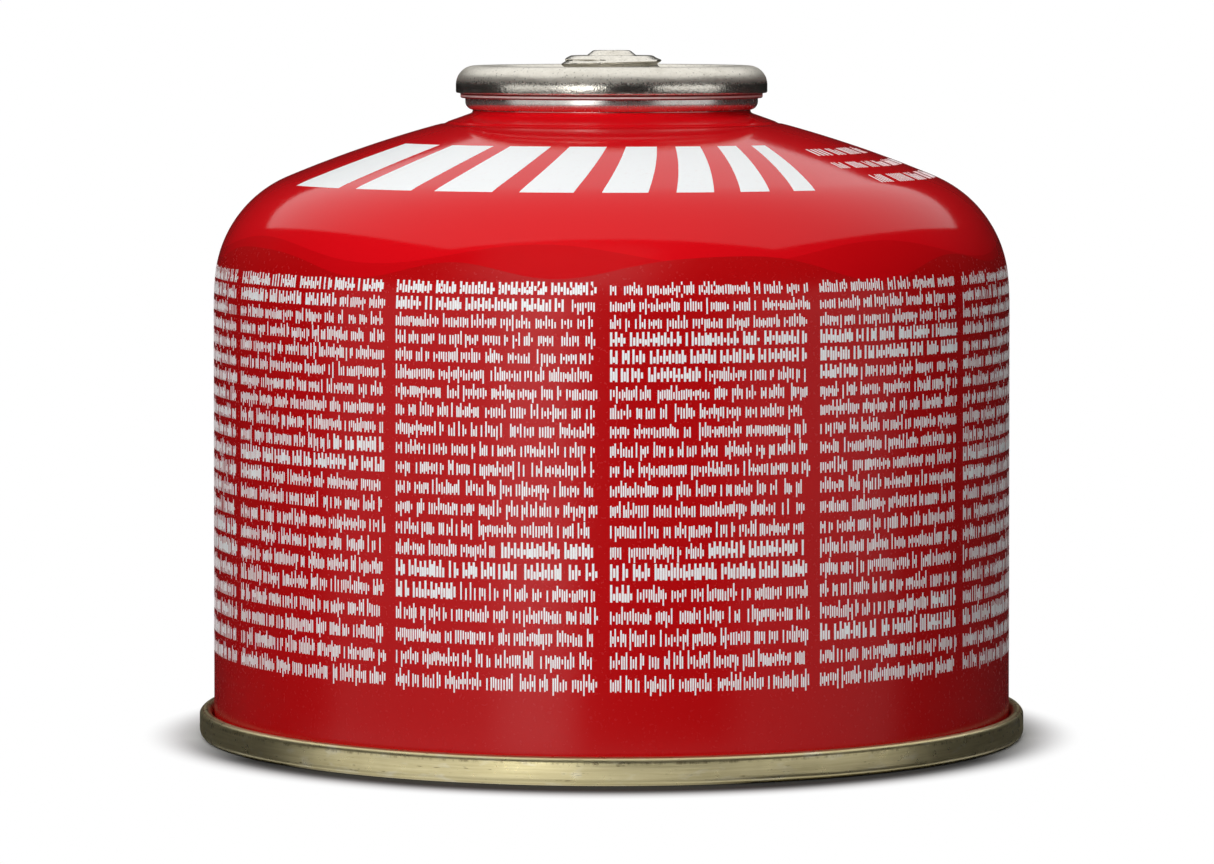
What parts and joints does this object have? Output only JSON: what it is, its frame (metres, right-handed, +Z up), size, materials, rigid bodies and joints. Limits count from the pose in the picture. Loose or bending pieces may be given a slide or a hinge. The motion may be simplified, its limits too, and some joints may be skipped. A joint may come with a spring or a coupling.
{
  "type": "fuel canister",
  "caption": "Squat round gas canister: red lacquered steel body with a domed shoulder, tinplate valve cup with a threaded post, and a gold double-seamed concave base.",
  "frame": {"origin": "centre of the circle that the base seam stands on, at the canister's underside", "axes": "+Z up along the canister's axis, from the base to the valve; the canister is round, and -Y is the side shown in the picture"},
  "size_m": [0.09, 0.09, 0.0745],
  "materials": {
    "red_lacquer": "gloss lacquer, bright red shoulder over a darker red wall",
    "gold_lacquer": "satin gold lacquer on tinplate",
    "tinplate": "bright tinplate with a fine grain",
    "grey_seal": "matt",
    "black_rubber": "matt",
    "valve_plastic": "satin"
  },
  "bodies": {
    "root": {"can_body": "red_lacquer", "base_end": "gold_lacquer", "valve_cup": "tinplate", "cup_seal": "grey_seal", "stem_seal": "black_rubber", "valve_core": "valve_plastic"}
  },
  "joints": []
}
